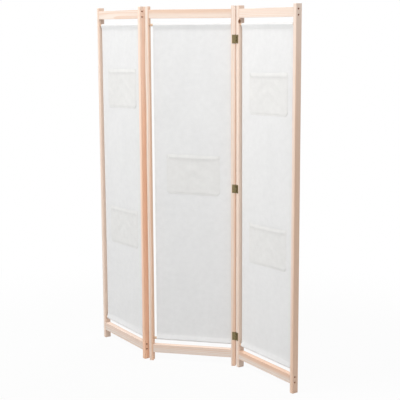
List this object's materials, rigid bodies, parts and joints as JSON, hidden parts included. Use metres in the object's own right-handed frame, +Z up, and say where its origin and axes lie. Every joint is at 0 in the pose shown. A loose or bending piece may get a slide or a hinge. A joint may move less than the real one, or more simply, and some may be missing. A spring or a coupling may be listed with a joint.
{
  "type": "folding room divider",
  "caption": "Folding fabric room divider: slim pine-framed panels hinged in a zig-zag, each with cloth hung between rods and sewn patch pockets on its front.",
  "frame": {"origin": "on the floor under the middle of the centre panel, which is also the middle of the footprint at the pictured stance", "axes": "+Z up, +X along the centre panel to the viewer's right, +Y away from the viewer"},
  "size_m": [1.0882, 0.624, 1.7],
  "materials": {
    "pine": "pale softwood under a thin clear coat",
    "rod_wood": "plain turned dowel",
    "cloth": "white plain-weave cloth",
    "brass": "dull brass plate",
    "screw_metal": "dark yellow-zinc steel"
  },
  "bodies": {
    "centre_panel": {"centre_bottom_rail": "pine", "centre_bottom_rod": "rod_wood", "centre_cloth": "cloth", "centre_left_stile": "pine", "centre_pocket": "cloth", "centre_right_stile": "pine", "centre_top_rail": "pine", "centre_top_rod": "rod_wood", "left_bottom_hinge_centre_leaf": "brass", "left_bottom_hinge_pin": "brass", "left_middle_hinge_centre_leaf": "brass", "left_middle_hinge_pin": "brass", "left_top_hinge_centre_leaf": "brass", "left_top_hinge_pin": "brass", "right_bottom_hinge_centre_leaf": "brass", "right_bottom_hinge_pin": "brass", "right_middle_hinge_centre_leaf": "brass", "right_middle_hinge_pin": "brass", "right_top_hinge_centre_leaf": "brass", "right_top_hinge_pin": "brass"},
    "left_panel": {"left_bottom_hinge_panel_leaf": "brass", "left_bottom_rail": "pine", "left_bottom_rod": "rod_wood", "left_cloth": "cloth", "left_inner_bottom_lower_screw": "screw_metal", "left_inner_bottom_upper_screw": "screw_metal", "left_inner_stile": "pine", "left_inner_top_lower_screw": "screw_metal", "left_inner_top_upper_screw": "screw_metal", "left_lower_pocket": "cloth", "left_middle_hinge_panel_leaf": "brass", "left_outer_bottom_lower_screw": "screw_metal", "left_outer_bottom_upper_screw": "screw_metal", "left_outer_stile": "pine", "left_outer_top_lower_screw": "screw_metal", "left_outer_top_upper_screw": "screw_metal", "left_top_hinge_panel_leaf": "brass", "left_top_rail": "pine", "left_top_rod": "rod_wood", "left_upper_pocket": "cloth"},
    "right_panel": {"right_bottom_hinge_panel_leaf": "brass", "right_bottom_rail": "pine", "right_bottom_rod": "rod_wood", "right_cloth": "cloth", "right_inner_bottom_lower_screw": "screw_metal", "right_inner_bottom_upper_screw": "screw_metal", "right_inner_stile": "pine", "right_inner_top_lower_screw": "screw_metal", "right_inner_top_upper_screw": "screw_metal", "right_lower_pocket": "cloth", "right_middle_hinge_panel_leaf": "brass", "right_outer_bottom_lower_screw": "screw_metal", "right_outer_bottom_upper_screw": "screw_metal", "right_outer_stile": "pine", "right_outer_top_lower_screw": "screw_metal", "right_outer_top_upper_screw": "screw_metal", "right_top_hinge_panel_leaf": "brass", "right_top_rail": "pine", "right_top_rod": "rod_wood", "right_upper_pocket": "cloth"}
  },
  "joints": [
    {"name": "left_fold", "type": "hinge", "parent": "centre_panel", "child": "left_panel", "pos_m": [-0.2145, 0.018, 0], "axis": [0, 0, -1], "range_deg": [-44, 136]},
    {"name": "right_fold", "type": "hinge", "parent": "centre_panel", "child": "right_panel", "pos_m": [0.2145, -0.018, 0], "axis": [0, 0, -1], "range_deg": [-44, 136]}
  ]
}
